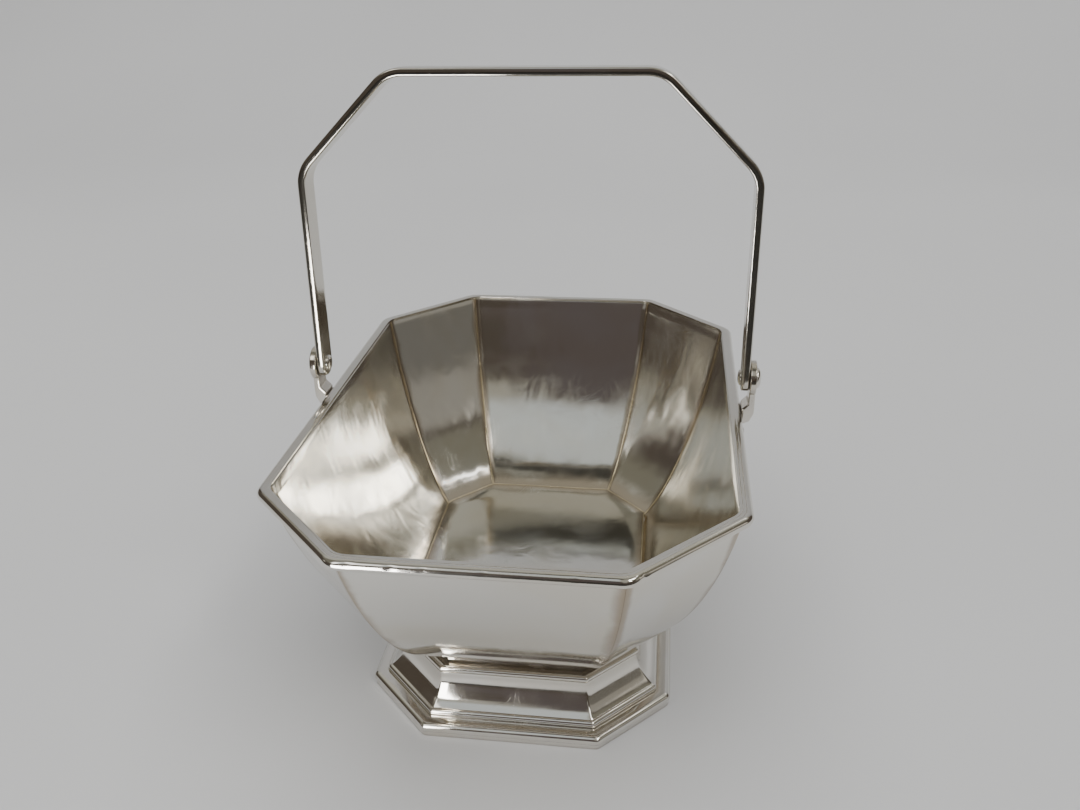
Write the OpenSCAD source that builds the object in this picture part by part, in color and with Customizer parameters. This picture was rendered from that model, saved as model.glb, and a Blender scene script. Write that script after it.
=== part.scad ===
// Swing-handled sugar basket: an oblong eight-sided silver bowl on a hollow moulded foot.
// Origin at the middle of the foot's underside, +Z up, the long way of the bowl along Y
// and the handle's pivot axis along X.

/* [Bowl] */
// Half width of the mouth, inside the rim, along X
mouth_x = 47.5; // [44:0.5:52]
// Half length of the mouth, inside the rim, along Y
mouth_y = 67.8; // [62:0.5:74]
// How much each corner of the mouth is cut off, along X and along Y
mouth_cut = 21; // [16:0.5:25]
// Height of the rim's top face
rim_z = 66.7; // [60:0.1:74]
// Half width of the floor, at the crease where the walls start
floor_x = 28.2; // [24:0.1:30]
// Half length of the floor
floor_y = 35.4; // [35:0.1:37]
// How much each corner of the floor is cut off
floor_cut = 11.2; // [9:0.1:13]
// Height of the floor's upper face
floor_z = 19; // [18.5:0.1:20]
// How tightly the walls turn up out of the floor: 1 is not at all, lower is tighter
wall_turn = 0.7; // [0.6:0.05:1]
// Bulge of the walls above that turn: 0 is none
wall_bulge = 0.3; // [0:0.05:0.6]
// Thickness of the walls, measured level at the top
wall_t = 1.1; // [0.8:0.1:1.4]
// Thickness of the floor
floor_t = 0.9; // [0.7:0.1:1.2]

/* [Rim] */
// Radius of the half-round bead that runs round the outside of the mouth
bead_r = 1.25; // [1:0.05:1.5]
// Thickness of the flat lip over the walls
lip_t = 0.7; // [0.5:0.1:1]
// Width of the lip and the bead together
lip_w = 2.7; // [2.5:0.1:3]

/* [Foot] */
// Half width of the foot's base
base_x = 36.5; // [34:0.5:38]
// Half length of the foot's base
base_y = 46; // [44:0.5:50]
// How much each corner of the base is cut off
base_cut = 16; // [14:0.1:17]
// Radius of the base's half-round edge
base_bead_r = 1.3; // [1.1:0.05:1.5]
// Thickness of the foot's sheet
foot_t = 1; // [0.8:0.1:1.2]
// Radius of the collar's round band
collar_r = 1.2; // [1:0.05:1.2]

/* [Handle] */
// Half distance between the outer faces of the handle's arms
arm_x = 51.5; // [51:0.1:53]
// Half width of the handle's top bar, outside, where the bends' lines cross
top_x = 29.8; // [26:0.2:34]
// Height of the pivot axis above the rim
pivot_rise = 7.1; // [6.5:0.1:8.5]
// From the pivot up to the shoulders, where the arms bend inwards
shoulder_l = 46.8; // [42:0.2:50]
// From the pivot up to the outer face of the top bar
handle_l = 68.4; // [66:0.2:70]
// Breadth of the strap
strap_w = 6.2; // [5:0.1:6.4]
// Thickness of the strap
strap_t = 1.8; // [1.4:0.1:2]
// Outer radius of the strap's bends
bend_r = 9; // [6:0.5:12]
// How far the handle leans back at rest, in degrees
lean = 3.6; // [0:0.2:8]

/* [Lugs and rivets] */
// Radius of each lug's ear
ear_r = 4.1; // [3.8:0.1:4.6]
// Thickness of each ear
ear_t = 1.5; // [1.2:0.1:2]
// Width of the neck below each ear
neck_w = 5; // [4:0.2:6]
// Half length of the two wings along the wall
wing_l = 6.6; // [5:0.2:9]
// Radius of the wings
wing_r = 1.2; // [1:0.1:1.4]
// Radius of the ball at the end of each wing
ball_r = 1.5; // [1.4:0.1:1.8]
// Radius of each rivet's shank
rivet_r = 1.4; // [1.2:0.1:1.6]
// Radius of each rivet's outer, domed head
head_r = 2.5; // [2.2:0.1:2.8]
// Radius of each rivet's inner, hammered head
peen_r = 1.9; // [1.7:0.1:2.2]

/* [Hidden] */
$fn = 48;
bore_fn = 64;
// clearance of the rivet in the handle, and the gap between the handle and its neighbours
run_gap = 0.06;
face_gap = 0.1;
pivot_z = rim_z + pivot_rise;
// the walls stop below the lip
wall_top = rim_z - lip_t;
wall_steps = 16;
// how far the walls' outer face lies out of and below the inner one, as shares of wall_t
wall_out = 0.85;
wall_down = 0.6;
// how far a panel's mitre planes reach past the floor and the mouth, as a share of the height
mitre_past = 0.3;
// how far a filled section reaches past the axis
inside = 3 * mouth_y;

// heights and insets of the foot's outline, from the base's half width
base_z = 2.1;
edge_in = 0.3;
ledge_z = base_z + base_bead_r;
ledge_in = 3.4;
roll_r = 1;
// the quarter round's centre lies this far above the ledge, which leaves a low step
roll_lift = 0.4;
cove_z = 12.2;
cove_in = 8.5;
cove_r = 12;
cove_steps = 9;
shelf_t = 1.8;
shelf_z = cove_z + shelf_t;
shelf_in = 7.9;
floor_under = floor_z - floor_t;
collar_z = floor_under - collar_r;
collar_in = 10.3;
collar_back = 12.3;
neck_in = 10.9;

// the lugs, from the wall outwards
pad_z = 60.5;
wing_rise = 1.4;
neck_rise = 1.6;
neck_back = 1;
// the wings and balls reach this far in past the pad, just short of the wall's curve
wing_sink = 0.6;
solder_gap = 0.1;
ear_in = arm_x + face_gap;
bead_out = mouth_x + lip_w;
dome_h = 1.2;
peen_h = 0.7;

// corners of an octagon of half sizes x and y with its corners cut by c, anticlockwise,
// starting at the front end of the right-hand side
function octagon(x, y, c) = [[x, c - y], [x, y - c], [x - c, y], [c - x, y],
                             [-x, y - c], [-x, c - y], [c - x, -y], [x - c, -y]];
// share of the way out from the floor's octagon to the mouth's, at share s of the height
function spread(s) = pow(s, wall_turn) * (1 + wall_bulge * (1 - s));
function mix(a, b, g) = a + (b - a) * g;
function bowl_octagon(g) = octagon(mix(floor_x, mouth_x, g), mix(floor_y, mouth_y, g),
                                   mix(floor_cut, mouth_cut, g));
// distance from the axis of side k of an octagon
function side_d(p, k) = p[k][0] * cos(45 * k) + p[k][1] * sin(45 * k);
function arc(cx, cz, r, a0, a1, n) = [for (i = [0:n]) [cx + r * cos(mix(a0, a1, i / n)),
                                                       cz + r * sin(mix(a0, a1, i / n))]];

// extrudes a section (distance from the axis, height) along side k
module along_side(k, length) {
    rotate([90, 0, 45 * k]) linear_extrude(height = length, center = true) children();
}

// section of side k's wall, with its steps closest together where it turns out of the floor
module wall_section(k) {
    inner = [for (i = [0:wall_steps])
             let (s = pow(i / wall_steps, 2) * (wall_top - floor_z) / (rim_z - floor_z))
             [side_d(bowl_octagon(spread(s)), k), mix(floor_z, rim_z, s)]];
    outer = [for (i = [wall_steps:-1:0]) inner[i] + wall_t * [wall_out, -wall_down]];
    polygon(concat([[inner[0][0], floor_under]], inner,
                   [inner[wall_steps] + [wall_t * wall_out, 0]], outer));
}

// one wall panel, mitred to its neighbours through the corners of the two octagons
module wall_panel(k) {
    a = bowl_octagon(-mitre_past);
    b = bowl_octagon(1 + mitre_past);
    j = (k + 1) % 8;
    color("silver") intersection() {
        along_side(k, 4 * mouth_y) wall_section(k);
        linear_extrude(height = rim_z) polygon([a[k], b[k], b[j], a[j]]);
    }
}

module floor_plate() {
    color("gainsboro") translate([0, 0, floor_under]) linear_extrude(height = floor_t)
        polygon(octagon(floor_x, floor_y, floor_cut));
}

// what lies inside eight mitred mouldings round the octagon of x, y and cut; the child is one
// moulding's section, filled from far inside to its face, with 0 at the octagon
module within_sides(x, y, cut) {
    p = octagon(x, y, cut);
    intersection_for(k = [0:7])
        along_side(k, 4 * mouth_y) translate([side_d(p, k), 0]) children();
}
// upright prism on the octagon of x, y and cut moved out by d, from height low to high
module octagon_prism(x, y, cut, d, low, high) {
    translate([0, 0, low]) linear_extrude(height = high - low)
        polygon(octagon(x + d, y + d, cut + (2 - sqrt(2)) * d));
}

// the flat lip over the walls, with the half-round bead soldered outside them
module rim() {
    centre = lip_w - bead_r;
    color("silver") difference() {
        within_sides(mouth_x, mouth_y, mouth_cut) union() {
            translate([-inside, rim_z - 2 * bead_r]) square([inside + centre, 2 * bead_r]);
            translate([centre, rim_z - bead_r]) circle(r = bead_r);
        }
        octagon_prism(mouth_x, mouth_y, mouth_cut, 0, 0, rim_z + 1);
        octagon_prism(mouth_x, mouth_y, mouth_cut, wall_t, 0, rim_z - lip_t);
    }
}

// round band between the foot and the bowl
module foot_collar() {
    color("silver") difference() {
        within_sides(base_x, base_y, base_cut) union() {
            translate([-inside, collar_z - collar_r])
                square([inside - collar_in, 2 * collar_r]);
            translate([-collar_in, collar_z]) circle(r = collar_r);
        }
        octagon_prism(base_x, base_y, base_cut, -collar_back, 0, rim_z);
    }
}

// hollow body of the foot: a step, a quarter round, a long cove, a shelf and the neck
module foot_body() {
    roll_in = ledge_in + roll_r;
    roll_z = ledge_z + roll_lift;
    low = [-roll_in, roll_z + roll_r];
    high = [-cove_in, cove_z];
    chord = norm(high - low);
    facing = atan2(high[1] - low[1], high[0] - low[0]);
    // the cove's centre lies outside the foot
    sag = sqrt(cove_r * cove_r - chord * chord / 4);
    c = (low + high) / 2 + sag * [sin(facing), -cos(facing)];
    a0 = (atan2(low[1] - c[1], low[0] - c[0]) + 360) % 360;
    a1 = (atan2(high[1] - c[1], high[0] - c[0]) + 360) % 360;
    top = collar_z - collar_r;
    color("silver") difference() {
        within_sides(base_x, base_y, base_cut)
            polygon(concat(
                [[-inside, ledge_z], [-ledge_in, ledge_z]],
                arc(-roll_in, roll_z, roll_r, 0, 90, 5),
                arc(c[0], c[1], cove_r, a0, a1, cove_steps),
                [[-shelf_in, cove_z], [-shelf_in, shelf_z], [-neck_in, shelf_z],
                 [-neck_in, top], [-inside, top]]));
        within_sides(base_x, base_y, base_cut)
            polygon(concat(
                [[-inside, 0], [-roll_in - foot_t, 0]],
                arc(c[0], c[1], cove_r + foot_t, a0, a1, cove_steps),
                [[-neck_in - foot_t, cove_z], [-neck_in - foot_t, rim_z], [-inside, rim_z]]));
    }
}

// half-round moulding under the foot, with a thin upright edge that it rests on
module foot_base() {
    color("gainsboro") difference() {
        within_sides(base_x, base_y, base_cut) union() {
            translate([-inside, 0]) square([inside - edge_in, base_z]);
            translate([-inside, 0]) square([inside - base_bead_r, ledge_z]);
            translate([-base_bead_r, base_z]) circle(r = base_bead_r);
        }
        octagon_prism(base_x, base_y, base_cut, -2 * base_bead_r, -1, ledge_z - foot_t);
        octagon_prism(base_x, base_y, base_cut, -ledge_in - roll_r - foot_t, 0, rim_z);
    }
}

// a solid turned about X, at height z; the child is its section (radius, distance along X)
module turned_x(z) {
    translate([0, 0, z]) rotate([0, 90, 0]) rotate_extrude() children();
}

// right-hand lug: a pad and two wings soldered to the wall, a neck and a drilled ear
module lug() {
    neck_out = ear_in + ear_t;
    wing_x = mouth_x + wall_t * wall_out;
    wing_z = pad_z + wing_rise;
    under_bead = rim_z - 2 * bead_r - solder_gap;
    over_rim = bead_out + solder_gap / 2;
    difference() {
        union() {
            translate([ear_in, 0, pivot_z]) rotate([0, 90, 0]) cylinder(r = ear_r, h = ear_t);
            rotate([90, 0, 0]) linear_extrude(height = neck_w, center = true)
                polygon([[wing_x, pad_z], [neck_out - neck_back, pad_z + neck_rise],
                         [neck_out, rim_z - neck_back], [neck_out, pivot_z],
                         [ear_in, pivot_z], [ear_in, rim_z + wing_rise],
                         [over_rim, rim_z], [over_rim, under_bead], [wing_x, under_bead]]);
            translate([wing_x + wing_r - wing_sink, 0, wing_z]) rotate([90, 0, 0])
                cylinder(r = wing_r, h = 2 * wing_l, center = true);
            for (side = [-1, 1])
                translate([wing_x + ball_r - wing_sink, side * wing_l, wing_z]) sphere(r = ball_r);
        }
        translate([ear_in - 1, 0, pivot_z]) rotate([0, 90, 0])
            cylinder(r = rivet_r, h = ear_t + 2, $fn = bore_fn);
    }
}
module lug_right() { color("lightgray") lug(); }
module lug_left() { color("lightgray") mirror([1, 0, 0]) lug(); }

// section of a low dome of radius r and height h
module dome_section(r, h) {
    ball = (r * r + h * h) / (2 * h);
    intersection() {
        translate([0, h - ball]) circle(r = ball);
        square([r, h]);
    }
}
// right-hand rivet: a shank through the handle and the ear, domed outside and hammered inside
module rivet() {
    strap_face = arm_x - strap_t - face_gap;
    ear_face = ear_in + ear_t;
    translate([strap_face, 0, pivot_z]) rotate([0, 90, 0])
        cylinder(r = rivet_r, h = ear_face - strap_face, $fn = bore_fn);
    translate([ear_face, 0, 0]) turned_x(pivot_z) dome_section(head_r, dome_h);
    translate([strap_face, 0, 0]) mirror([1, 0, 0]) turned_x(pivot_z)
        dome_section(peen_r, peen_h);
}
module rivet_right() { color("white") rivet(); }
module rivet_left() { color("white") mirror([1, 0, 0]) rivet(); }

// outline of the strap seen along its breadth: a half octagon with round bends, its faces
// moved in by inset
module strap_outline(inset) {
    x = arm_x - inset;
    r = bend_r - inset;
    slope = atan2(handle_l - shoulder_l, arm_x - top_x);
    turn = 90 - slope;
    shoulder_y = shoulder_l - inset * tan(turn / 2);
    corner_x = top_x - inset * tan(slope / 2);
    top = handle_l - inset;
    right = concat(arc(x - r, shoulder_y - r * tan(turn / 2), r, 0, turn, 8),
                   arc(corner_x - r * tan(slope / 2), top - r, r, turn, 90, 8));
    polygon(concat([[-x, -strap_w], [x, -strap_w]], right,
                   [for (i = [len(right) - 1:-1:0]) [-right[i][0], right[i][1]]]));
}
module handle() {
    color("silver") translate([0, 0, pivot_z]) rotate([-lean, 0, 0]) difference() {
        intersection() {
            rotate([90, 0, 0]) linear_extrude(height = strap_w, center = true) difference() {
                strap_outline(0);
                strap_outline(strap_t);
            }
            // round lower ends, about the pivot
            union() {
                translate([-2 * arm_x, -strap_w, 0]) cube([4 * arm_x, 2 * strap_w, 2 * handle_l]);
                rotate([0, 90, 0]) cylinder(r = strap_w / 2, h = 4 * arm_x, center = true);
            }
        }
        rotate([0, 90, 0])
            cylinder(r = rivet_r + run_gap, h = 4 * arm_x, center = true, $fn = bore_fn);
    }
}

wall_panel(0);  // wall_right
wall_panel(1);  // wall_back_right
wall_panel(2);  // wall_back
wall_panel(3);  // wall_back_left
wall_panel(4);  // wall_left
wall_panel(5);  // wall_front_left
wall_panel(6);  // wall_front
wall_panel(7);  // wall_front_right
floor_plate();  // floor
rim();
foot_collar();
foot_body();
foot_base();
lug_left();
lug_right();
rivet_left();
rivet_right();
handle();
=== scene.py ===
"""Silver sugar basket: an oblong eight-sided bowl on a moulded foot, with a swing handle.

The CAD nodes give every piece its place. Each is stood for by a finished piece with soft
edges, solder, knocks and worn silver. Lengths are in metres: X across, Y along the bowl.
"""
import math

import bpy
from mathutils import Matrix, Vector, noise


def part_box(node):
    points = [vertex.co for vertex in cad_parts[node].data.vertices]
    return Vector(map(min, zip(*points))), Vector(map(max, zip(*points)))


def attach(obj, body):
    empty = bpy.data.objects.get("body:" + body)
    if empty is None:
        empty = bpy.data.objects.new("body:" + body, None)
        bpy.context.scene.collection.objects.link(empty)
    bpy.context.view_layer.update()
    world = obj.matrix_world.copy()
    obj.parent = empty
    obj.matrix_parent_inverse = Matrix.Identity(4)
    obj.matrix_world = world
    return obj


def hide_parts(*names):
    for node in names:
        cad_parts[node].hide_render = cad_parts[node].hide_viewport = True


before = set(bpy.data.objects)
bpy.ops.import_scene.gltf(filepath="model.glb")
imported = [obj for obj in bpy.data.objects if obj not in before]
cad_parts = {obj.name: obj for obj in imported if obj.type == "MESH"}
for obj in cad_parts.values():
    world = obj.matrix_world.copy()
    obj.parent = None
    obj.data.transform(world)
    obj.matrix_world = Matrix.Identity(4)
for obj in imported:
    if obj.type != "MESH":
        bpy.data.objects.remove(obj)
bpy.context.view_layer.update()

MM = 0.001
TURN = math.radians(45)
SIDES = ("right", "back_right", "back", "back_left", "left", "front_left", "front", "front_right")

# ---------------------------------------------------------------- sizes: places come from the frame
LIP_W = 2.7 * MM
LIP_T = 0.7 * MM
BEAD_R = 1.25 * MM
WALL_T = 1.1 * MM
# the walls' outer face lies this far out of and below the inner one, as shares of WALL_T
WALL_OUT = 0.85
WALL_DOWN = 0.6
STRAP_T = 1.8 * MM
STRAP_W = 6.2 * MM
LEAN = math.radians(3.6)
WALL_TURN = 0.7
BULGE = 0.3
PIVOT_RISE = 7.1 * MM


def top_of(name):
    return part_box(name)[1]


RIM_Z = top_of("rim")[2]
MOUTH = (top_of("rim")[0] - LIP_W, top_of("rim")[1] - LIP_W, 21.0 * MM)
FLOOR = (top_of("floor")[0], top_of("floor")[1], 11.2 * MM)
FLOOR_Z = top_of("floor")[2]
FLOOR_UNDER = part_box("floor")[0][2]
BASE = (top_of("foot_base")[0], top_of("foot_base")[1], 16.0 * MM)
LEDGE_Z = top_of("foot_base")[2]
BASE_BEAD_R = 1.3 * MM
BASE_EDGE_IN = 0.3 * MM
FOOT_T = 1.0 * MM
LEDGE_IN = 3.4 * MM
ROLL_R = 1.0 * MM
ROLL_LIFT = 0.4 * MM
COVE_R = 12 * MM
COLLAR_R = (top_of("foot_collar")[2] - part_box("foot_collar")[0][2]) / 2
COLLAR_IN = BASE[0] - top_of("foot_collar")[0] + COLLAR_R
COLLAR_BACK = COLLAR_IN + 2.0 * MM
NECK_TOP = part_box("foot_collar")[0][2]
PIVOT_Z = RIM_Z + PIVOT_RISE
ARM_X = top_of("handle")[0]


def octagon(x, y, cut):
    """Corners anticlockwise, side k running from corner k to corner k + 1, facing 45 k degrees."""
    quarter = [(x, y - cut), (x - cut, y)]
    half = quarter + [(-a, b) for a, b in reversed(quarter)]
    ring = half + [(-a, -b) for a, b in half]
    return [Vector((a, b, 0)) for a, b in ring[-1:] + ring[:-1]]


def mix(a, b, share):
    return a + (b - a) * share


def spread(share):
    """How far out the wall is at a share of its height: 0 at the floor, 1 at the mouth."""
    return max(share, 0) ** WALL_TURN * (1 + BULGE * (1 - share))


def bowl_corner(k, height, out=0.0):
    """The walls' corner k at a height above the ground, on an octagon moved out by out."""
    share = (height - FLOOR_Z) / (RIM_Z - FLOOR_Z)
    x, y, cut = (mix(a, b, spread(share)) for a, b in zip(FLOOR, MOUTH))
    corner = octagon(x + out, y + out, cut + (2 - math.sqrt(2)) * out)[k % 8]
    return corner + Vector((0, 0, height))


def facing(k):
    return Vector((math.cos(TURN * k), math.sin(TURN * k), 0))


def along(k):
    return Vector((-math.sin(TURN * k), math.cos(TURN * k), 0))


def arc(cx, cz, r, start, end, steps):
    """Points on an arc, from start to end in degrees."""
    turns = [math.radians(mix(start, end, i / steps)) for i in range(steps + 1)]
    return [(cx + r * math.cos(t), cz + r * math.sin(t)) for t in turns]


# ---------------------------------------------------------------- modelling helpers
def deselect():
    bpy.ops.object.select_all(action="DESELECT")


def only(obj):
    deselect()
    obj.select_set(True)
    bpy.context.view_layer.objects.active = obj


def edit():
    bpy.ops.object.mode_set(mode="EDIT")
    bpy.ops.mesh.select_all(action="SELECT")


def done():
    bpy.ops.object.mode_set(mode="OBJECT")


def named(obj, name):
    obj.name = name
    obj.data.name = name
    return obj


def settle(obj):
    """Puts the object's place into its mesh."""
    only(obj)
    bpy.ops.object.transform_apply(location=True, rotation=True, scale=True)
    return obj


def pull(move):
    bpy.ops.mesh.extrude_region_move(TRANSFORM_OT_translate={"value": move})


def trace(name, points, closed=False):
    """Edges through the points, pulled out of a single vertex. Stays in edit mode."""
    deselect()
    bpy.ops.mesh.primitive_plane_add(size=MM, location=points[0])
    line = settle(named(bpy.context.object, name))
    edit()
    bpy.ops.mesh.merge(type="CENTER")
    path = list(points) + ([points[0]] if closed else [])
    for a, b in zip(path, path[1:]):
        pull(Vector(b) - Vector(a))
    bpy.ops.mesh.select_all(action="SELECT")
    bpy.ops.mesh.remove_doubles(threshold=0.001 * MM)
    return line


def join(pieces, name):
    deselect()
    for piece in pieces:
        piece.select_set(True)
    bpy.context.view_layer.objects.active = pieces[0]
    bpy.ops.object.join()
    return named(bpy.context.object, name)


def weld(obj, gap=0.002 * MM):
    only(obj)
    edit()
    bpy.ops.mesh.remove_doubles(threshold=gap)
    bpy.ops.mesh.normals_make_consistent(inside=False)
    done()


def modify(obj, kind, **settings):
    only(obj)
    modifier = obj.modifiers.new(kind.title(), kind)
    for key, value in settings.items():
        setattr(modifier, key, value)
    bpy.ops.object.modifier_apply(modifier=modifier.name)


def soften(obj, width, segments=2, angle=30):
    """Rounds the edges sharper than angle, and smooths the rest."""
    modify(obj, "BEVEL", width=width, segments=segments, limit_method="ANGLE",
           angle_limit=math.radians(angle), harden_normals=False)
    only(obj)
    bpy.ops.object.shade_smooth_by_angle(angle=math.radians(angle))


def bar(name, section, k, middle, length, steps, mitres, fill):
    """A section (distance out, height) swept along side k, then cut by the mitre planes."""
    out, run = facing(k), along(k)
    start = middle - run * length / 2
    points = [start + out * d + Vector((0, 0, z)) for d, z in section]
    obj = trace(name, points, closed=True)
    for _ in range(steps):
        pull(run * length / steps)
    for point, normal in mitres:
        bpy.ops.mesh.select_all(action="SELECT")
        bpy.ops.mesh.bisect(plane_co=point, plane_no=normal, clear_outer=True, use_fill=fill)
    done()
    return obj


def choose_edges(obj, wanted):
    """Selects the edges for which wanted(a, b) is true of their two ends. Leaves edit mode on."""
    only(obj)
    edit()
    bpy.ops.mesh.select_mode(type="EDGE")
    bpy.ops.mesh.select_all(action="DESELECT")
    done()
    places = [v.co for v in obj.data.vertices]
    for edge in obj.data.edges:
        edge.select = wanted(places[edge.vertices[0]], places[edge.vertices[1]])
    bpy.ops.object.mode_set(mode="EDIT")


def moulding_ring(name, section, shape, cuts, corner):
    """Eight mitred lengths of one moulding, joined, with their corners rounded to corner."""
    corners = octagon(*shape)
    lengths = []
    planes = []
    for k in range(8):
        a, b = corners[k], corners[(k + 1) % 8]
        run = along(k)
        before = (run + along(k - 1)).normalized()
        after = (run + along(k + 1)).normalized()
        length = (b - a).length + 8 * MM
        lengths.append(bar(f"{name}_{k}", section, k, (a + b) / 2, length, 1,
                           [(a, -before), (b, after)], False))
        planes.append((a, before))
    ring = join(lengths, name)
    weld(ring, 0.01 * MM)

    def on_mitre(a, b):
        return any(abs((a - p).dot(n)) + abs((b - p).dot(n)) < 0.01 * MM for p, n in planes)

    choose_edges(ring, on_mitre)
    bpy.ops.mesh.bevel(offset=corner, segments=4, affect="EDGES")
    done()
    choose_edges(ring, lambda a, b: (a - b).length > 5 * MM)
    bpy.ops.mesh.subdivide(number_cuts=cuts)
    bpy.ops.mesh.select_mode(type="VERT")
    done()
    return ring


def ripple(obj, size, depth, seed):
    """Pushes the surface in and out a little, as hammering and polishing leave it."""
    offset = Vector((seed * 7.1, seed * 3.7, seed * 5.3))
    normals = [v.normal.copy() for v in obj.data.vertices]
    for vertex, normal in zip(obj.data.vertices, normals):
        vertex.co += normal * depth * noise.noise(vertex.co / size + offset)


def dent(obj, place, radius, depth, direction):
    """A knock: the surface near place moves along direction, most in the middle."""
    for vertex in obj.data.vertices:
        near = 1 - (vertex.co - place).length / radius
        if near > 0:
            vertex.co += direction * depth * near * near * (3 - 2 * near)


# ---------------------------------------------------------------- pieces
def wall_edge(k, steps):
    """Outline of the sheet at corner k: up its inner face and down its outer one."""
    top = RIM_Z - LIP_T
    heights = [mix(FLOOR_Z, top, (i / steps) ** 2) for i in range(steps + 1)]
    out = WALL_OUT * WALL_T
    down = Vector((0, 0, -WALL_DOWN * WALL_T))
    inner = [bowl_corner(k, z) for z in heights]
    outer = [bowl_corner(k, z, out) + down for z in reversed(heights)]
    low = bowl_corner(k, FLOOR_Z)
    low.z = FLOOR_UNDER
    return [low] + inner + [bowl_corner(k, top, out)] + outer


def wall(k):
    """One panel: the outlines at its two corners, bridged, planished and softened."""
    node = f"wall_{SIDES[k]}"
    ends = []
    for corner in (k, k + 1):
        ends.append(trace(f"{node}_end", wall_edge(corner, 34), closed=True))
        done()
    sheet = join(ends, f"{node}_sheet")
    only(sheet)
    edit()
    bpy.ops.mesh.bridge_edge_loops(number_cuts=34 if k % 4 == 0 else 24, interpolation="LINEAR")
    bpy.ops.mesh.select_all(action="SELECT")
    bpy.ops.mesh.fill_holes(sides=0)
    bpy.ops.mesh.select_all(action="SELECT")
    bpy.ops.mesh.normals_make_consistent(inside=False)
    done()
    planish(sheet, k)
    soften(sheet, 0.08 * MM)
    seams = sheet.data.attributes.new("seams", "FLOAT_VECTOR", "POINT")
    for i, vertex in enumerate(sheet.data.vertices):
        height = max(vertex.co.z, FLOOR_Z)
        first = (vertex.co - bowl_corner(k, height)).dot(along(k))
        last = (bowl_corner(k + 1, height) - vertex.co).dot(along(k))
        seams.data[i].vector = (abs(first) / MM, abs(last) / MM, (height - FLOOR_Z) / MM)
    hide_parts(node)
    return sheet


def planish(sheet, k):
    """Soft hollows from the hammer, drawn out up the wall and strongest beside the seams."""
    run, out = along(k), facing(k)
    shift = Vector((k * 5.3, k * 2.9, k * 7.7))
    for vertex in sheet.data.vertices:
        height = max(vertex.co.z, FLOOR_Z)
        first = (vertex.co - bowl_corner(k, height)).dot(run)
        last = (bowl_corner(k + 1, height) - vertex.co).dot(run)
        across = min(first, last)
        beside = math.exp(-((across - 5 * MM) / (5 * MM)) ** 2)
        ends = min(1, across / (2 * MM)) if across > 0 else 0
        broad = noise.noise(vertex.co / (19 * MM) + shift)
        drawn = noise.noise(Vector((across / (4 * MM), height / (17 * MM), k * 3.1)))
        vertex.co += out * ends * (0.09 * MM * broad + 0.07 * MM * beside * drawn)


def rim():
    """The flat lip with the half-round bead outside it, and a fine groove between them."""
    centre = LIP_W - BEAD_R
    bead = arc(centre, RIM_Z - BEAD_R, BEAD_R, 100, -90, 16)
    section = [(0, RIM_Z), (centre - 0.5 * MM, RIM_Z), (centre - 0.32 * MM, RIM_Z - 0.03 * MM)]
    section += bead + [(WALL_T, RIM_Z - 2 * BEAD_R), (WALL_T, RIM_Z - LIP_T), (0, RIM_Z - LIP_T)]
    ring = moulding_ring("rim_band", section, MOUTH, 70, 1.6 * MM)
    soften(ring, 0.12 * MM)
    ripple(ring, 9 * MM, 0.04 * MM, 11)
    knocks = ((-0.47, -1.0, 0.9), (-0.31, -1.0, 0.7), (0.02, -1.0, 0.55), (-0.19, -1.0, 0.5),
              (0.62, -0.98, 0.8), (0.36, -1.0, 0.5), (-0.85, -0.75, 0.6), (1.0, 0.2, 0.6))
    for x, y, size in knocks:
        place = Vector((x * (MOUTH[0] + LIP_W), y * (MOUTH[1] + LIP_W), RIM_Z - 0.5 * MM))
        nearest = min(ring.data.vertices, key=lambda v: (v.co - place).length)
        inward = Vector((-nearest.co.x, -nearest.co.y, -0.02)).normalized()
        dent(ring, nearest.co.copy(), size * 1.5 * MM, size * 0.16 * MM, inward)
    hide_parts("rim")
    return ring


def floor_plate():
    """The bowl's floor: dished a little, and turned up into the solder at its edge."""
    corners = [p + Vector((0, 0, FLOOR_UNDER)) for p in octagon(*FLOOR)]
    plate = trace("floor_sheet", corners, closed=True)
    bpy.ops.mesh.edge_face_add()
    pull((0, 0, FLOOR_Z - FLOOR_UNDER))
    for axis, half in ((0, FLOOR[0]), (1, FLOOR[1])):
        across = Vector((1 - axis, axis, 0))
        cuts = int(2 * half / (1.3 * MM))
        for i in range(1, cuts):
            bpy.ops.mesh.select_all(action="SELECT")
            bpy.ops.mesh.bisect(plane_co=across * (2 * i / cuts - 1) * half, plane_no=across)
    bpy.ops.mesh.select_all(action="SELECT")
    bpy.ops.mesh.normals_make_consistent(inside=False)
    done()
    sides = [(facing(k), octagon(*FLOOR)[k].dot(facing(k))) for k in range(8)]
    seams = plate.data.attributes.new("seams", "FLOAT_VECTOR", "POINT")
    for i, vertex in enumerate(plate.data.vertices):
        edge = min(d - vertex.co.dot(out) for out, d in sides)
        if vertex.co.z > FLOOR_UNDER + 0.1 * MM:
            cove = max(0, 1 - edge / (5 * MM))
            wave = noise.noise(vertex.co / (21 * MM) + Vector((3.1, 8.2, 0.4)))
            middle = 1 - (vertex.co.x / FLOOR[0]) ** 2 - (vertex.co.y / FLOOR[1]) ** 2
            vertex.co.z += 0.8 * MM * cove ** 2 + 0.1 * MM * wave + 0.35 * MM * max(0, middle)
        seams.data[i].vector = (edge / MM, edge / MM, edge / MM)
    only(plate)
    bpy.ops.object.shade_smooth_by_angle(angle=math.radians(40))
    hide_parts("floor")
    return plate


def foot_collar():
    """The round band between the bowl and the foot."""
    middle = NECK_TOP + COLLAR_R
    section = arc(-COLLAR_IN, middle, COLLAR_R, 90, -90, 14)
    section += [(-COLLAR_BACK, NECK_TOP), (-COLLAR_BACK, NECK_TOP + 2 * COLLAR_R)]
    ring = moulding_ring("foot_collar_band", section, BASE, 12, 0.4 * MM)
    soften(ring, 0.1 * MM)
    ripple(ring, 12 * MM, 0.03 * MM, 21)
    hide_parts("foot_collar")
    return ring


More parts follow.
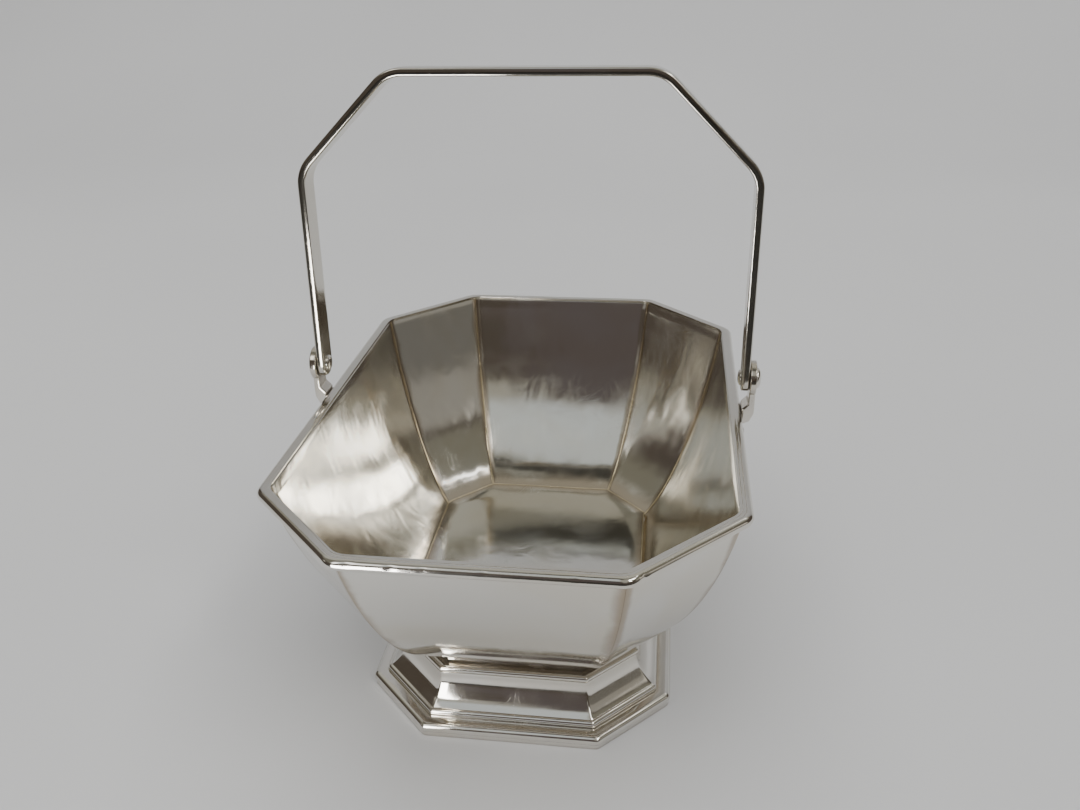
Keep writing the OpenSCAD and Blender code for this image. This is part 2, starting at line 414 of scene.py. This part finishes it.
def foot_body():
    """The foot's hollow sheet: a roll, a long cove, a half-round fillet and the neck."""
    roll_in = LEDGE_IN + ROLL_R
    fillet_r = 0.9 * MM
    neck_in = COLLAR_IN + 0.6 * MM
    shelf_in = neck_in - 3.0 * MM
    low = Vector((-roll_in, LEDGE_Z + ROLL_LIFT + ROLL_R))
    high = Vector((-shelf_in - 0.6 * MM, NECK_TOP - 3.5 * MM))
    chord = high - low
    depth = math.sqrt(COVE_R ** 2 - chord.length_squared / 4)
    centre = (low + high) / 2 + Vector((chord.y, -chord.x)).normalized() * depth
    start = math.degrees(math.atan2(low.y - centre.y, low.x - centre.x)) % 360
    end = math.degrees(math.atan2(high.y - centre.y, high.x - centre.x)) % 360
    section = [(-LEDGE_IN, LEDGE_Z)] + arc(-roll_in, low.y - ROLL_R, ROLL_R, 0, 90, 8)
    section += arc(centre.x, centre.y, COVE_R, start, end, 16)
    section += arc(-shelf_in - fillet_r, high.y + fillet_r, fillet_r, -80, 90, 10)
    section += [(-neck_in, high.y + 2 * fillet_r), (-neck_in, NECK_TOP)]
    section += [(-neck_in - FOOT_T, NECK_TOP), (-neck_in - FOOT_T, high.y)]
    section += arc(centre.x, centre.y, COVE_R + FOOT_T, end, start, 12)
    section += [(-roll_in - FOOT_T, LEDGE_Z)]
    ring = moulding_ring("foot_body_sheet", section, BASE, 20, 0.3 * MM)
    soften(ring, 0.1 * MM)
    ripple(ring, 14 * MM, 0.05 * MM, 31)
    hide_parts("foot_body")
    return ring


def foot_base():
    """The half-round moulding that the foot stands on."""
    middle = LEDGE_Z - BASE_BEAD_R
    back = LEDGE_IN + ROLL_R + FOOT_T
    section = [(-BASE_EDGE_IN, 0)] + arc(-BASE_BEAD_R, middle, BASE_BEAD_R, -39, 90, 14)
    section += [(-back, LEDGE_Z), (-back, LEDGE_Z - FOOT_T)]
    section += [(-2 * BASE_BEAD_R, LEDGE_Z - FOOT_T), (-2 * BASE_BEAD_R, 0)]
    ring = moulding_ring("foot_base_moulding", section, BASE, 30, 0.6 * MM)
    soften(ring, 0.12 * MM)
    ripple(ring, 11 * MM, 0.04 * MM, 41)
    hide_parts("foot_base")
    return ring


def turned(name, profile, z, steps=48):
    """A closed (radius, x) profile spun round the line along X at height z."""
    obj = trace(name, [(x, 0, z + r) for r, x in profile], closed=True)
    bpy.ops.mesh.spin(steps=steps, angle=math.tau, center=(0, 0, z), axis=(1, 0, 0))
    done()
    weld(obj)
    return obj


def mirrored(obj, name):
    """A copy on the other side, turned the right way out."""
    twin = obj.copy()
    twin.data = obj.data.copy()
    bpy.context.collection.objects.link(twin)
    named(twin, name)
    only(twin)
    edit()
    bpy.ops.transform.resize(value=(-1, 1, 1), center_override=(0, 0, 0))
    bpy.ops.mesh.flip_normals()
    done()
    return twin


FACE_GAP = 0.1 * MM
RUN_GAP = 0.06 * MM
EAR_T = 1.5 * MM
EAR_IN = ARM_X + FACE_GAP
EAR_OUT = EAR_IN + EAR_T
EAR_R = 4.1 * MM
NECK_W = 5 * MM
NECK_UP = 3.2 * MM
WING_L = 6.6 * MM
WING_R = 1.2 * MM
WING_RISE = 1.4 * MM
WING_SINK = 0.6 * MM
BALL_R = 1.5 * MM
RIVET_R = 1.4 * MM
HEAD_R = 2.5 * MM
PEEN_R = 1.9 * MM


def lug():
    """Right-hand lug, cast in one: a drilled ear, its neck, and two balled wings on the wall."""
    wall_x = MOUTH[0] + WALL_OUT * WALL_T
    # level with the middle of the CAD's balls, which is WING_RISE above the CAD pad's lower edge
    pad_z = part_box("lug_right")[0][2] + BALL_R
    under_bead = RIM_Z - 2 * BEAD_R - FACE_GAP
    bead_out = MOUTH[0] + LIP_W + FACE_GAP / 2
    ear = turned("lug_cast", [(RIVET_R, EAR_IN), (EAR_R, EAR_IN), (EAR_R, EAR_OUT),
                              (RIVET_R, EAR_OUT)], PIVOT_Z)
    profile = [(wall_x, pad_z), (EAR_OUT - MM, pad_z + 1.6 * MM), (EAR_OUT, RIM_Z - MM),
               (EAR_OUT, PIVOT_Z - NECK_UP), (EAR_IN, PIVOT_Z - NECK_UP),
               (EAR_IN, RIM_Z + 1.4 * MM), (bead_out, RIM_Z), (bead_out, under_bead),
               (wall_x, under_bead)]
    neck = trace("neck", [(x, -NECK_W / 2, z) for x, z in profile], closed=True)
    bpy.ops.mesh.edge_face_add()
    pull((0, NECK_W, 0))
    done()
    weld(neck)
    deselect()
    wing_z = pad_z + WING_RISE
    bpy.ops.mesh.primitive_cylinder_add(radius=WING_R, depth=2 * WING_L, rotation=(TURN * 2, 0, 0),
                                        location=(wall_x + WING_R - WING_SINK, 0, wing_z))
    wings = settle(bpy.context.object)
    parts = [ear, neck, wings]
    for side in (-1, 1):
        bpy.ops.mesh.primitive_uv_sphere_add(
            radius=BALL_R, location=(wall_x + BALL_R - WING_SINK, side * WING_L, wing_z))
        parts.append(settle(bpy.context.object))
    cast = join(parts, "lug_right_cast")
    modify(cast, "REMESH", mode="VOXEL", voxel_size=0.16 * MM)
    modify(cast, "SMOOTH", factor=0.6, iterations=5)
    only(cast)
    bpy.ops.object.shade_smooth()
    return cast


def lugs():
    right = lug()
    left = mirrored(right, "lug_left_cast")
    ripple(right, 3 * MM, 0.05 * MM, 51)
    ripple(left, 3 * MM, 0.05 * MM, 52)
    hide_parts("lug_right")
    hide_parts("lug_left")
    return [right, left]


def rivet():
    """Right-hand rivet: domed outside, hammered over inside."""
    inner = ARM_X - STRAP_T - FACE_GAP
    dome = [(HEAD_R * math.cos(t), EAR_OUT + 0.1 * MM + 1.1 * MM * math.sin(t))
            for t in (math.radians(9 * i) for i in range(10))]
    peen = [(PEEN_R * math.sin(t), inner - 0.1 * MM - 0.6 * MM * math.cos(t))
            for t in (math.radians(15 * i) for i in range(7))]
    profile = peen + [(PEEN_R, inner), (RIVET_R, inner), (RIVET_R, EAR_OUT)]
    profile += [(HEAD_R, EAR_OUT)] + dome
    pin = turned("rivet_right_pin", profile, PIVOT_Z, 56)
    only(pin)
    bpy.ops.object.shade_smooth_by_angle(angle=math.radians(35))
    return pin


def rivets():
    right = rivet()
    left = mirrored(right, "rivet_left_pin")
    for pin, seed in ((right, 61), (left, 62)):
        ripple(pin, 1.6 * MM, 0.07 * MM, seed)
    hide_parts("rivet_right")
    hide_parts("rivet_left")
    return [right, left]


# along the strap's outer face: the pivot to the shoulders and the top bar, and the top bar's half width
SHOULDER_L = 46.8 * MM
HANDLE_L = 68.4 * MM
TOP_X = 29.8 * MM
BEND_OUTER = 9 * MM


def handle():
    """A flat strip, rounded and drilled at its ends, bent at four places into a half octagon."""
    half_w = STRAP_W / 2
    middle_x = ARM_X - STRAP_T / 2
    slope = math.atan2(HANDLE_L - SHOULDER_L, ARM_X - TOP_X)
    turn_low = math.pi / 2 - slope
    inset = STRAP_T / 2
    bend_r = BEND_OUTER - inset
    low_z = SHOULDER_L - inset * math.tan(turn_low / 2)
    high_x = TOP_X - inset * math.tan(slope / 2)
    # the right half of the middle line, from the pivot to the middle of the top bar
    low_cut = bend_r * math.tan(turn_low / 2)
    high_cut = bend_r * math.tan(slope / 2)
    slant = math.hypot(middle_x - high_x, HANDLE_L - inset - low_z)
    runs = [("straight", low_z - low_cut), ("bend", turn_low),
            ("straight", slant - low_cut - high_cut), ("bend", slope),
            ("straight", high_x - high_cut)]
    half = sum(size if kind == "straight" else size * bend_r for kind, size in runs)

    def fold(along_strip):
        """Place and direction on the middle line, a distance along it from the pivot."""
        place, heading = Vector((middle_x, 0)), math.pi / 2
        left = along_strip
        for kind, size in runs:
            if kind == "straight":
                step = min(left, size)
                place = place + Vector((math.cos(heading), math.sin(heading))) * step
            else:
                step = min(left, size * bend_r)
                centre = place + Vector((-math.sin(heading), math.cos(heading))) * bend_r
                heading += step / bend_r
                place = centre - Vector((-math.sin(heading), math.cos(heading))) * bend_r
            left -= step
            if left <= 0:
                break
        return place, heading

    # flat strip: X along it from the middle of the top bar, Y its breadth, Z its thickness
    end = [(half + half_w * math.cos(t), half_w * math.sin(t))
           for t in (math.radians(-90 + 10 * i) for i in range(19))]
    outline = end + [(-x, -y) for x, y in end]
    strip = trace("handle_strap", [(x, y, -inset) for x, y in outline], closed=True)
    bpy.ops.mesh.edge_face_add()
    pull((0, 0, STRAP_T))
    done()
    weld(strip)
    for side in (-1, 1):
        deselect()
        bpy.ops.mesh.primitive_cylinder_add(vertices=48, radius=RIVET_R + RUN_GAP,
                                            depth=4 * STRAP_T, location=(side * half, 0, 0))
        drill = settle(bpy.context.object)
        modify(strip, "BOOLEAN", operation="DIFFERENCE", object=drill, solver="EXACT")
        bpy.data.objects.remove(drill)
    modify(strip, "BEVEL", width=0.42 * MM, segments=4, limit_method="ANGLE",
           angle_limit=math.radians(50))
    only(strip)
    edit()
    cuts = int(2 * half / (0.8 * MM))
    for i in range(1, cuts):
        bpy.ops.mesh.select_all(action="SELECT")
        bpy.ops.mesh.bisect(plane_co=(-half + i * 2 * half / cuts, 0, 0), plane_no=(1, 0, 0))
    for i in range(-2, 3):
        bpy.ops.mesh.select_all(action="SELECT")
        bpy.ops.mesh.bisect(plane_co=(0, i * MM, 0), plane_no=(0, 1, 0))
    done()
    back = Matrix.Rotation(-LEAN, 3, "X")
    for vertex in strip.data.vertices:
        side = 1 if vertex.co.x >= 0 else -1
        place, heading = fold(half - abs(vertex.co.x))
        x = place.x + vertex.co.z * math.sin(heading)
        z = place.y - vertex.co.z * math.cos(heading)
        vertex.co = back @ Vector((side * x, vertex.co.y, z)) + Vector((0, 0, PIVOT_Z))
    weld(strip, 0.0005 * MM)
    ripple(strip, 22 * MM, 0.05 * MM, 71)
    only(strip)
    bpy.ops.object.shade_smooth_by_angle(angle=math.radians(25))
    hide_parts("handle")
    return strip


# ---------------------------------------------------------------- stage
def camera():
    deselect()
    bpy.ops.object.camera_add(location=(0.03099, -0.20624, 0.16883))
    view = named(bpy.context.object, "camera")
    yaw, pitch, roll = (math.radians(a) for a in (7.88, 90 - 26.62, -1.22))
    turn = Matrix.Rotation(yaw, 4, "Z") @ Matrix.Rotation(pitch, 4, "X") @ Matrix.Rotation(roll, 4, "Z")
    view.rotation_euler = turn.to_euler()
    view.data.sensor_width = 36
    view.data.lens = 31.99
    view.data.clip_start = 0.01
    bpy.context.scene.camera = view


def backdrop():
    """A sheet of pale paper: flat under the bowl, then swept up behind it."""
    start = (-1.2, -0.9, 0)
    path = [start, (-1.2, 0.55, 0)]
    path += [(-1.2, y, z) for y, z in arc(0.55, 0.5, 0.5, -90, 0, 16)[1:]]
    path += [(-1.2, 1.05, 1.1)]
    sheet = trace("paper", path)
    pull((2.4, 0, 0))
    done()
    weld(sheet)
    only(sheet)
    bpy.ops.object.shade_smooth_by_angle(angle=math.radians(30))
    sheet.data.materials.append(paper())


def painted_shade_sheet():
    """Painted shade for mirror reflections: a dark sheet just above the front of the paper and past its
    front edge, standing in for the shaded paper and the dark room there. Only mirror surfaces see it.
    """
    deselect()
    bpy.ops.mesh.primitive_plane_add(size=1, location=(0, -0.9, 2 * MM))
    shade = named(bpy.context.object, "reflected_shade_sheet")
    edit()
    bpy.ops.transform.resize(value=(3, 1.46, 1), center_override=(0, -0.9, 0))
    done()
    settle(shade)
    material = bpy.data.materials.new("reflected_shade_sheet")
    material.use_nodes = True
    shader = material.node_tree.nodes["Principled BSDF"]
    # painted shade: near-black, seen only in the silver's reflections
    shader.inputs["Base Color"].default_value = (0.02, 0.018, 0.016, 1)
    shader.inputs["Roughness"].default_value = 0.9
    shade.data.materials.append(material)
    shade.visible_camera = False
    shade.visible_diffuse = False
    shade.visible_shadow = False


def white_card():
    """A lit card low at the front left. It whitens that side of the foot's mouldings."""
    deselect()
    bpy.ops.mesh.primitive_plane_add(size=1, location=(0, 0, 0))
    card = named(bpy.context.object, "white_card")
    edit()
    bpy.ops.transform.resize(value=(0.0566, 0.07, 1), center_override=(0, 0, 0))
    bpy.ops.transform.rotate(value=TURN * 2, orient_axis="X", center_override=(0, 0, 0))
    bpy.ops.transform.translate(value=(-0.0667, -0.15, 0.045))
    done()
    material = bpy.data.materials.new("white_card")
    material.use_nodes = True
    shader = material.node_tree.nodes["Principled BSDF"]
    shader.inputs["Base Color"].default_value = (0, 0, 0, 1)
    shader.inputs["Emission Color"].default_value = (1, 0.99, 0.97, 1)
    shader.inputs["Emission Strength"].default_value = 14
    card.data.materials.append(material)
    card.visible_camera = False
    card.visible_diffuse = False
    card.visible_shadow = False


def area_light(name, place, aim, width, height, power, colour):
    deselect()
    bpy.ops.object.light_add(type="AREA", location=place)
    light = named(bpy.context.object, name)
    light.data.shape = "RECTANGLE"
    light.data.size = width
    light.data.size_y = height
    light.data.energy = power
    light.data.color = colour
    light.visible_glossy = False
    light.rotation_euler = (Vector(aim) - Vector(place)).to_track_quat("-Z", "Y").to_euler()


# ---------------------------------------------------------------- node helpers
def add(tree, kind, sockets=None, **settings):
    """A new shader node; sockets maps input names to values or to other nodes' outputs."""
    made = tree.nodes.new("ShaderNode" + kind)
    for key, value in settings.items():
        setattr(made, key, value)
    for key, value in (sockets or {}).items():
        if isinstance(value, bpy.types.NodeSocket):
            tree.links.new(value, made.inputs[key])
        else:
            made.inputs[key].default_value = value
    return made


def calc(tree, operation, *values):
    return add(tree, "Math", dict(enumerate(values)), operation=operation).outputs[0]


def ramp(tree, value, low, high, to_low=0.0, to_high=1.0):
    """value from low to high, turned smoothly into to_low to to_high."""
    sockets = {"Value": value, "From Min": low, "From Max": high, "To Min": to_low, "To Max": to_high}
    return add(tree, "MapRange", sockets, interpolation_type="SMOOTHSTEP").outputs[0]


def band(tree, value, low, high, soft):
    """1 between low and high, fading out over soft on both sides."""
    rise = ramp(tree, value, low - soft, low + soft)
    fall = ramp(tree, value, high - soft, high + soft, 1.0, 0.0)
    return calc(tree, "MULTIPLY", rise, fall)


def blend(tree, share, first, second, blend_type="MIX"):
    """Colour first at share 0, second at share 1."""
    made = add(tree, "Mix", data_type="RGBA", blend_type=blend_type)
    for socket, value in ((0, share), (6, first), (7, second)):
        if isinstance(value, bpy.types.NodeSocket):
            tree.links.new(value, made.inputs[socket])
        else:
            made.inputs[socket].default_value = value
    return made.outputs[2]


def stretched(tree, coordinates, size, turn):
    """Coordinates turned, then divided by a size along each axis."""
    scale = tuple(1 / s for s in size)
    return add(tree, "Mapping", {"Vector": coordinates, "Rotation": turn, "Scale": scale}).outputs[0]


def cloud(tree, coordinates, size, detail=2.0, distortion=0.0, roughness=0.5):
    """Noise from 0 to 1 with features of about size metres."""
    sockets = {"Vector": coordinates, "Scale": 1 / size, "Detail": detail,
               "Distortion": distortion, "Roughness": roughness}
    return add(tree, "TexNoise", sockets).outputs["Fac"]


def new_group(name, inputs, outputs):
    """A node group with named sockets: inputs maps names to (type, default)."""
    group = bpy.data.node_groups.new(name, "ShaderNodeTree")
    for label, (kind, value) in inputs.items():
        socket = group.interface.new_socket(label, in_out="INPUT", socket_type="NodeSocket" + kind)
        if value is not None:
            socket.default_value = value
    for label, kind in outputs.items():
        group.interface.new_socket(label, in_out="OUTPUT", socket_type="NodeSocket" + kind)
    return group, group.nodes.new("NodeGroupInput").outputs, group.nodes.new("NodeGroupOutput").inputs


def place_group(tree, group, sockets):
    made = tree.nodes.new("ShaderNodeGroup")
    made.node_tree = group
    for key, value in sockets.items():
        if isinstance(value, bpy.types.NodeSocket):
            tree.links.new(value, made.inputs[key])
        else:
            made.inputs[key].default_value = value
    return made.outputs


# ---------------------------------------------------------------- shared effects
def polish_group():
    """Years of rubbing: hair scratches that swirl, broad haze, and the metal's soft waviness."""
    group, given, out = new_group(
        "polish", {"Coordinates": ("Vector", None), "Scratches": ("Float", 1.0),
                   "Waves": ("Float", 1.0)},
        {"Height": "Float", "Haze": "Float"})
    where = given["Coordinates"]
    swing = ramp(group, cloud(group, where, 0.02), 0.3, 0.7, -1.1, 1.1)
    turned_one = add(group, "VectorRotate", {"Vector": where, "Angle": swing, "Axis": (0.3, 1, 0.2)})
    turned_two = add(group, "VectorRotate", {"Vector": where, "Angle": swing, "Axis": (1, 0.2, 0.4)})
    total = None
    for swung, size in ((turned_one, (0.03, 0.03, 0.00022)), (turned_two, (0.02, 0.0003, 0.02)),
                        (turned_one, (0.00025, 0.02, 0.03))):
        coordinates = stretched(group, swung.outputs[0], size, (0.3, 0.5, 0.2))
        lines = ramp(group, cloud(group, coordinates, 1, 3), 0.6, 0.75)
        total = lines if total is None else calc(group, "MAXIMUM", total, lines)
    patchy = ramp(group, cloud(group, where, 0.012, 3), 0.42, 0.62)
    scratches = calc(group, "MULTIPLY", calc(group, "MULTIPLY", total, patchy), given["Scratches"])
    waves = calc(group, "MULTIPLY", cloud(group, stretched(group, where, (1, 1, 2.2), (0, 0, 0)),
                                          0.007, 1.5, 0.6), given["Waves"])
    group.links.new(calc(group, "ADD", waves, calc(group, "MULTIPLY", scratches, -0.012)), out["Height"])
    film = ramp(group, cloud(group, where, 0.018, 4, 0.8), 0.45, 0.7)
    haze = calc(group, "ADD", calc(group, "MULTIPLY", film, 0.55), calc(group, "MULTIPLY", scratches, 0.6))
    group.links.new(haze, out["Haze"])
    return group


def seam_group():
    """Solder and old tarnish beside a joint, from the distance to it in millimetres."""
    group, given, out = new_group(
        "seam", {"Coordinates": ("Vector", None), "Distance": ("Float", 0.0), "Width": ("Float", 1.0)},
        {"Solder": "Float", "Stain": "Float"})
    ragged = ramp(group, cloud(group, given["Coordinates"], 0.009, 3), 0.3, 0.7, 0.6, 1.5)
    near = calc(group, "DIVIDE", given["Distance"], calc(group, "MULTIPLY", ragged, given["Width"]))
    group.links.new(ramp(group, near, 0.35, 0.75, 1.0, 0.0), out["Solder"])
    group.links.new(ramp(group, near, 0.4, 4.0, 1.0, 0.0), out["Stain"])
    return group


def silver(name, colour, roughness, scratches, waves, stain_colour=None, seams=False, crevice=0.0):
    """Worn silver. crevice is how strongly tarnish stays in hollows, seams adds solder at joints."""
    material = bpy.data.materials.new(name)
    material.use_nodes = True
    tree = material.node_tree
    shader = tree.nodes["Principled BSDF"]
    shader.inputs["Metallic"].default_value = 1
    where = add(tree, "TexCoord").outputs["Object"]
    polish = place_group(tree, POLISH, {"Coordinates": where, "Scratches": scratches, "Waves": waves})
    tint = ramp(tree, cloud(tree, where, 0.03, 3, 1.0), 0.35, 0.65)
    tone = blend(tree, tint, colour, tuple(c * f for c, f in zip(colour, (0.97, 0.95, 0.905))) + (1,))
    rough = calc(tree, "ADD", calc(tree, "MULTIPLY", polish["Haze"], 0.16), roughness)
    height = polish["Height"]
    if seams:
        distances = add(tree, "Attribute", attribute_name="seams").outputs["Vector"]
        split = add(tree, "SeparateXYZ", {0: distances})
        nearest = calc(tree, "MINIMUM", split.outputs[0], split.outputs[1])
        seam = place_group(tree, SEAM, {"Coordinates": where, "Distance": nearest, "Width": 0.42})
        low = place_group(tree, SEAM, {"Coordinates": where, "Distance": split.outputs[2], "Width": 0.8})
        stain = calc(tree, "MAXIMUM", seam["Stain"], calc(tree, "MULTIPLY", low["Stain"], 0.8))
        tone = blend(tree, calc(tree, "MULTIPLY", stain, 0.75), tone, stain_colour)
        tone = blend(tree, calc(tree, "MULTIPLY", seam["Solder"], 0.85), tone, (0.80, 0.70, 0.50, 1))
        rough = calc(tree, "ADD", rough, calc(tree, "MULTIPLY", stain, 0.1))
        height = calc(tree, "ADD", height, calc(tree, "MULTIPLY", seam["Solder"], 0.2))
    if crevice:
        shade = add(tree, "AmbientOcclusion", {"Distance": 0.0025}, samples=6).outputs["AO"]
        hollow = ramp(tree, shade, 0.15, 0.6, crevice, 0.0)
        tone = blend(tree, hollow, tone, (0.16, 0.12, 0.08, 1))
        rough = calc(tree, "ADD", rough, calc(tree, "MULTIPLY", hollow, 0.3))
        tree.links.new(ramp(tree, hollow, 0.2, 0.9, 1.0, 0.5), shader.inputs["Metallic"])
    bump = add(tree, "Bump", {"Height": height, "Strength": 1.0, "Distance": 0.0002})
    tree.links.new(tone, shader.inputs["Base Color"])
    tree.links.new(rough, shader.inputs["Roughness"])
    tree.links.new(bump.outputs[0], shader.inputs["Normal"])
    return material


def paper():
    material = bpy.data.materials.new("pale_paper")
    material.use_nodes = True
    tree = material.node_tree
    shader = tree.nodes["Principled BSDF"]
    where = add(tree, "TexCoord").outputs["Object"]
    mottle = ramp(tree, cloud(tree, where, 0.4, 2), 0.3, 0.7)
    tree.links.new(blend(tree, mottle, (0.575, 0.58, 0.595, 1), (0.605, 0.61, 0.625, 1)),
                   shader.inputs["Base Color"])
    shader.inputs["Roughness"].default_value = 0.85
    return material


# ---------------------------------------------------------------- the room that silver mirrors
def room():
    """A dim room: pale lamps and a window as soft patches, by bearing and height in degrees.

    Bearing 0 is straight in front of the bowl and 90 is to its right.
    """
    world = bpy.data.worlds.new("room")
    bpy.context.scene.world = world
    world.use_nodes = True
    tree = world.node_tree
    facing_dir = add(tree, "TexCoord").outputs["Generated"]
    split = add(tree, "SeparateXYZ", {0: facing_dir})
    wobble = cloud(tree, facing_dir, 0.25, 3)
    bearing = calc(tree, "ARCTAN2", split.outputs[0], calc(tree, "MULTIPLY", split.outputs[1], -1.0))
    bearing = calc(tree, "MULTIPLY", bearing, 180 / math.pi)
    bearing = calc(tree, "ADD", bearing, ramp(tree, wobble, 0.3, 0.7, -3.0, 3.0))
    height = calc(tree, "MULTIPLY", calc(tree, "ARCSINE", split.outputs[2]), 180 / math.pi)
    height = calc(tree, "ADD", height, ramp(tree, wobble, 0.3, 0.7, 3.0, -3.0))
    sideways = calc(tree, "ABSOLUTE", bearing)
    middle = blend(tree, ramp(tree, sideways, 48.0, 62.0), (0.42, 0.41, 0.36, 1), (0.21, 0.20, 0.16, 1))
    tone = blend(tree, ramp(tree, height, 29.0, 36.0), (0.088, 0.073, 0.060, 1), middle)
    tone = blend(tree, ramp(tree, height, 63.0, 70.0), tone, (0.29, 0.285, 0.25, 1))
    behind = calc(tree, "MULTIPLY", ramp(tree, sideways, 100.0, 125.0), ramp(tree, height, 30.0, 45.0))
    tone = blend(tree, behind, tone, (0.54, 0.53, 0.475, 1))
    for left, right, bottom, upper, soft, colour, strength in LAMPS:
        mask = calc(tree, "MULTIPLY", band(tree, bearing, left, right, soft),
                    band(tree, height, bottom, upper, soft))
        tone = blend(tree, mask, tone, tuple(c * strength for c in colour) + (1,))
    # past the paper's edges the camera sees a plain pale wall
    straight = add(tree, "LightPath").outputs["Is Camera Ray"]
    tone = blend(tree, straight, tone, (0.58, 0.58, 0.585, 1))
    tree.links.new(tone, tree.nodes["Background"].inputs["Color"])


COOL = (0.92, 0.98, 1.0)
WARM = (1.0, 0.95, 0.84)
WHITE = (1.0, 0.99, 0.96)
MAUVE = (1.0, 0.85, 0.83)
OLIVE = (1.0, 0.97, 0.85)
# bearing from and to, height from and to, softness, colour, strength
LAMPS = (
    (-38.0, 32.0, 70.0, 95.0, 3.0, OLIVE, 0.06),
    (-22.0, 2.0, 40.0, 70.0, 3.0, COOL, 0.70),
    (-10.0, 4.0, 3.0, 38.0, 2.0, MAUVE, 0.11),
    (-52.0, -24.0, 36.0, 58.0, 3.0, WHITE, 2.4),
    (44.0, 80.0, 50.0, 58.0, 1.2, WHITE, 11.0),
    (86.0, 112.0, 54.5, 58.0, 1.0, WHITE, 5.0),
    (58.0, 86.0, 2.0, 18.0, 3.0, WARM, 0.17),
    (64.0, 88.0, 18.0, 29.0, 2.0, WARM, 0.32),
    (8.0, 24.0, 20.0, 30.0, 3.0, WHITE, 0.42),
    (-50.0, -36.0, 58.0, 66.0, 2.0, WARM, 0.5),
    (40.0, 49.0, 30.0, 50.0, 2.0, WHITE, 7.0),
    (130.0, 152.0, 41.0, 47.0, 1.5, WHITE, 2.0),
    (81.0, 89.0, 4.0, 28.0, 2.0, WARM, 0.7),
    (-86.0, -74.0, 17.0, 24.0, 2.0, WARM, 0.7),
    (-110.0, -74.0, 68.0, 76.0, 2.0, WARM, 0.14),
    (-40.0, 40.0, -20.0, -1.0, 1.0, WHITE, 0.01),
)


def finish(obj, material, body="bowl"):
    obj.data.materials.clear()
    obj.data.materials.append(material)
    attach(obj, body)


deselect()
camera()
backdrop()
painted_shade_sheet()
white_card()
POLISH = polish_group()
SEAM = seam_group()
bowl_silver = silver("bowl_silver", (0.75, 0.735, 0.695, 1), 0.09, 1.0, 0.35, (0.30, 0.22, 0.13, 1), True)
floor_silver = silver("floor_silver", (0.75, 0.74, 0.70, 1), 0.10, 1.2, 0.3, (0.32, 0.23, 0.13, 1), True)
rim_silver = silver("rim_silver", (0.74, 0.72, 0.68, 1), 0.09, 0.7, 0.1, crevice=0.7)
foot_silver = silver("foot_silver", (0.76, 0.74, 0.70, 1), 0.07, 0.6, 0.15, crevice=0.8)
lug_silver = silver("lug_silver", (0.68, 0.65, 0.60, 1), 0.13, 0.6, 0.3, crevice=0.9)
rivet_silver = silver("rivet_silver", (0.74, 0.72, 0.68, 1), 0.10, 0.6, 0.3, crevice=0.5)
handle_silver = silver("handle_silver", (0.66, 0.64, 0.60, 1), 0.11, 1.0, 0.1, crevice=0.4)

for k in range(8):
    finish(wall(k), bowl_silver)
finish(floor_plate(), floor_silver)
finish(rim(), rim_silver)
finish(foot_collar(), foot_silver)
finish(foot_body(), foot_silver)
finish(foot_base(), foot_silver)
for cast in lugs():
    finish(cast, lug_silver)
for pin in rivets():
    finish(pin, rivet_silver)
finish(handle(), handle_silver, "handle")
room()
area_light("overhead", (0.0, -0.1, 1.5), (0, 0, 0), 1.8, 1.8, 20, (1, 1, 1))
